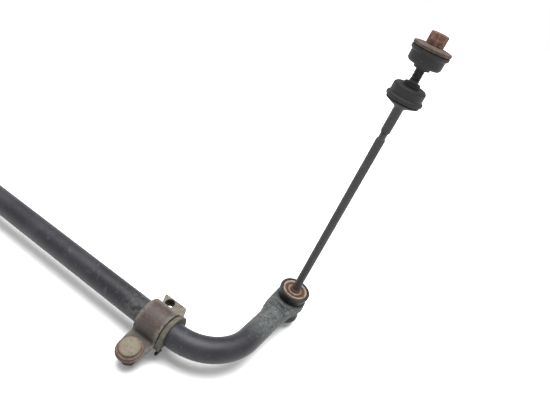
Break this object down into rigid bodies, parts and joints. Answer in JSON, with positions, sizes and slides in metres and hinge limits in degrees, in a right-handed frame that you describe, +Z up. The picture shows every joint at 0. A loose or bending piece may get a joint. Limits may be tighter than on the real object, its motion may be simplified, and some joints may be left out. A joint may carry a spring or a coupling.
{
  "type": "sway bar",
  "caption": "Round anti-roll bar with short bent arms and forged eyes, strap brackets on D-shaped rubber bushings and long end links with rubber grommets.",
  "frame": {"origin": "middle of the straight bar, on its centre line", "axes": "+X along the straight bar towards the right-hand bracket, +Y from the bar towards the eyes of the arms, +Z up along the end links"},
  "size_m": [1.0016, 0.2294, 0.3963],
  "materials": {
    "bar_paint": "semi-gloss black paint, dusty, chipped on the arms",
    "bracket_steel": "brown rusty paint",
    "rubber": "matt, dusty",
    "bolt_steel": "dull zinc plate with dust",
    "rusty_washer": "rusty",
    "dark_nut": "dark rust",
    "rod_steel": "dark, dull",
    "cup_steel": "yellow zinc going to rust",
    "copper_nut": "copper-brown rust"
  },
  "bodies": {
    "bar": {"sway_bar": "bar_paint"},
    "left_bracket": {"left_frame_bracket": "bracket_steel", "left_frame_bushing": "rubber", "left_bracket_bolt": "bolt_steel", "left_bracket_washer": "rusty_washer", "left_bracket_nut": "dark_nut"},
    "left_link": {"left_link_rod": "rod_steel", "left_eye_upper_washer": "cup_steel", "left_eye_upper_bushing": "rubber", "left_eye_lower_bushing": "rubber", "left_eye_lower_washer": "cup_steel", "left_eye_nut": "dark_nut", "left_perch_lower_washer": "rod_steel", "left_perch_lower_bushing": "rubber"},
    "left_clamp": {"left_perch_upper_bushing": "rubber", "left_perch_upper_washer": "bracket_steel"},
    "left_nut": {"left_perch_nut": "copper_nut"},
    "right_bracket": {"right_frame_bracket": "bracket_steel", "right_frame_bushing": "rubber", "right_bracket_bolt": "bolt_steel", "right_bracket_washer": "rusty_washer", "right_bracket_nut": "dark_nut"},
    "right_link": {"right_link_rod": "rod_steel", "right_eye_upper_washer": "cup_steel", "right_eye_upper_bushing": "rubber", "right_eye_lower_bushing": "rubber", "right_eye_lower_washer": "cup_steel", "right_eye_nut": "dark_nut", "right_perch_lower_washer": "rod_steel", "right_perch_lower_bushing": "rubber"},
    "right_clamp": {"right_perch_upper_bushing": "rubber", "right_perch_upper_washer": "bracket_steel"},
    "right_nut": {"right_perch_nut": "copper_nut"}
  },
  "joints": [
    {"name": "left_bracket_turn", "type": "hinge", "parent": "bar", "child": "left_bracket", "pos_m": [-0.374, 0, 0], "axis": [1, 0, 0], "continuous": true},
    {"name": "left_link_swing", "type": "hinge", "parent": "bar", "child": "left_link", "pos_m": [-0.46338, 0.15585, 0], "axis": [0.998, 0.0349, 0.0523], "range_deg": [-15, 15], "deforming": ["left_eye_upper_bushing", "left_eye_lower_bushing"]},
    {"name": "left_clamp_slide", "type": "slide", "parent": "left_link", "child": "left_clamp", "axis": [0.0523, 0.0018, -0.9986], "range_m": [0, 0.0125]},
    {"name": "left_nut_turn", "type": "hinge", "parent": "left_clamp", "child": "left_nut", "pos_m": [-0.48179, 0.1552, 0.35152], "axis": [0.0523, 0.0018, -0.9986], "range_deg": [0, 3010]},
    {"name": "right_bracket_turn", "type": "hinge", "parent": "bar", "child": "right_bracket", "pos_m": [0.374, 0, 0], "axis": [1, 0, 0], "continuous": true},
    {"name": "right_link_swing", "type": "hinge", "parent": "bar", "child": "right_link", "pos_m": [0.46338, 0.15585, 0], "axis": [0.998, -0.0349, -0.0523], "range_deg": [-15, 15], "deforming": ["right_eye_upper_bushing", "right_eye_lower_bushing"]},
    {"name": "right_clamp_slide", "type": "slide", "parent": "right_link", "child": "right_clamp", "axis": [-0.0523, 0.0018, -0.9986], "range_m": [0, 0.0125]},
    {"name": "right_nut_turn", "type": "hinge", "parent": "right_clamp", "child": "right_nut", "pos_m": [0.48179, 0.1552, 0.35152], "axis": [-0.0523, 0.0018, -0.9986], "range_deg": [0, 3010]}
  ],
  "couplings": [
    {"joint": "left_nut_turn", "follows": "left_clamp_slide", "rad_per_m": 4188.8},
    {"joint": "right_nut_turn", "follows": "right_clamp_slide", "rad_per_m": 4188.8}
  ]
}
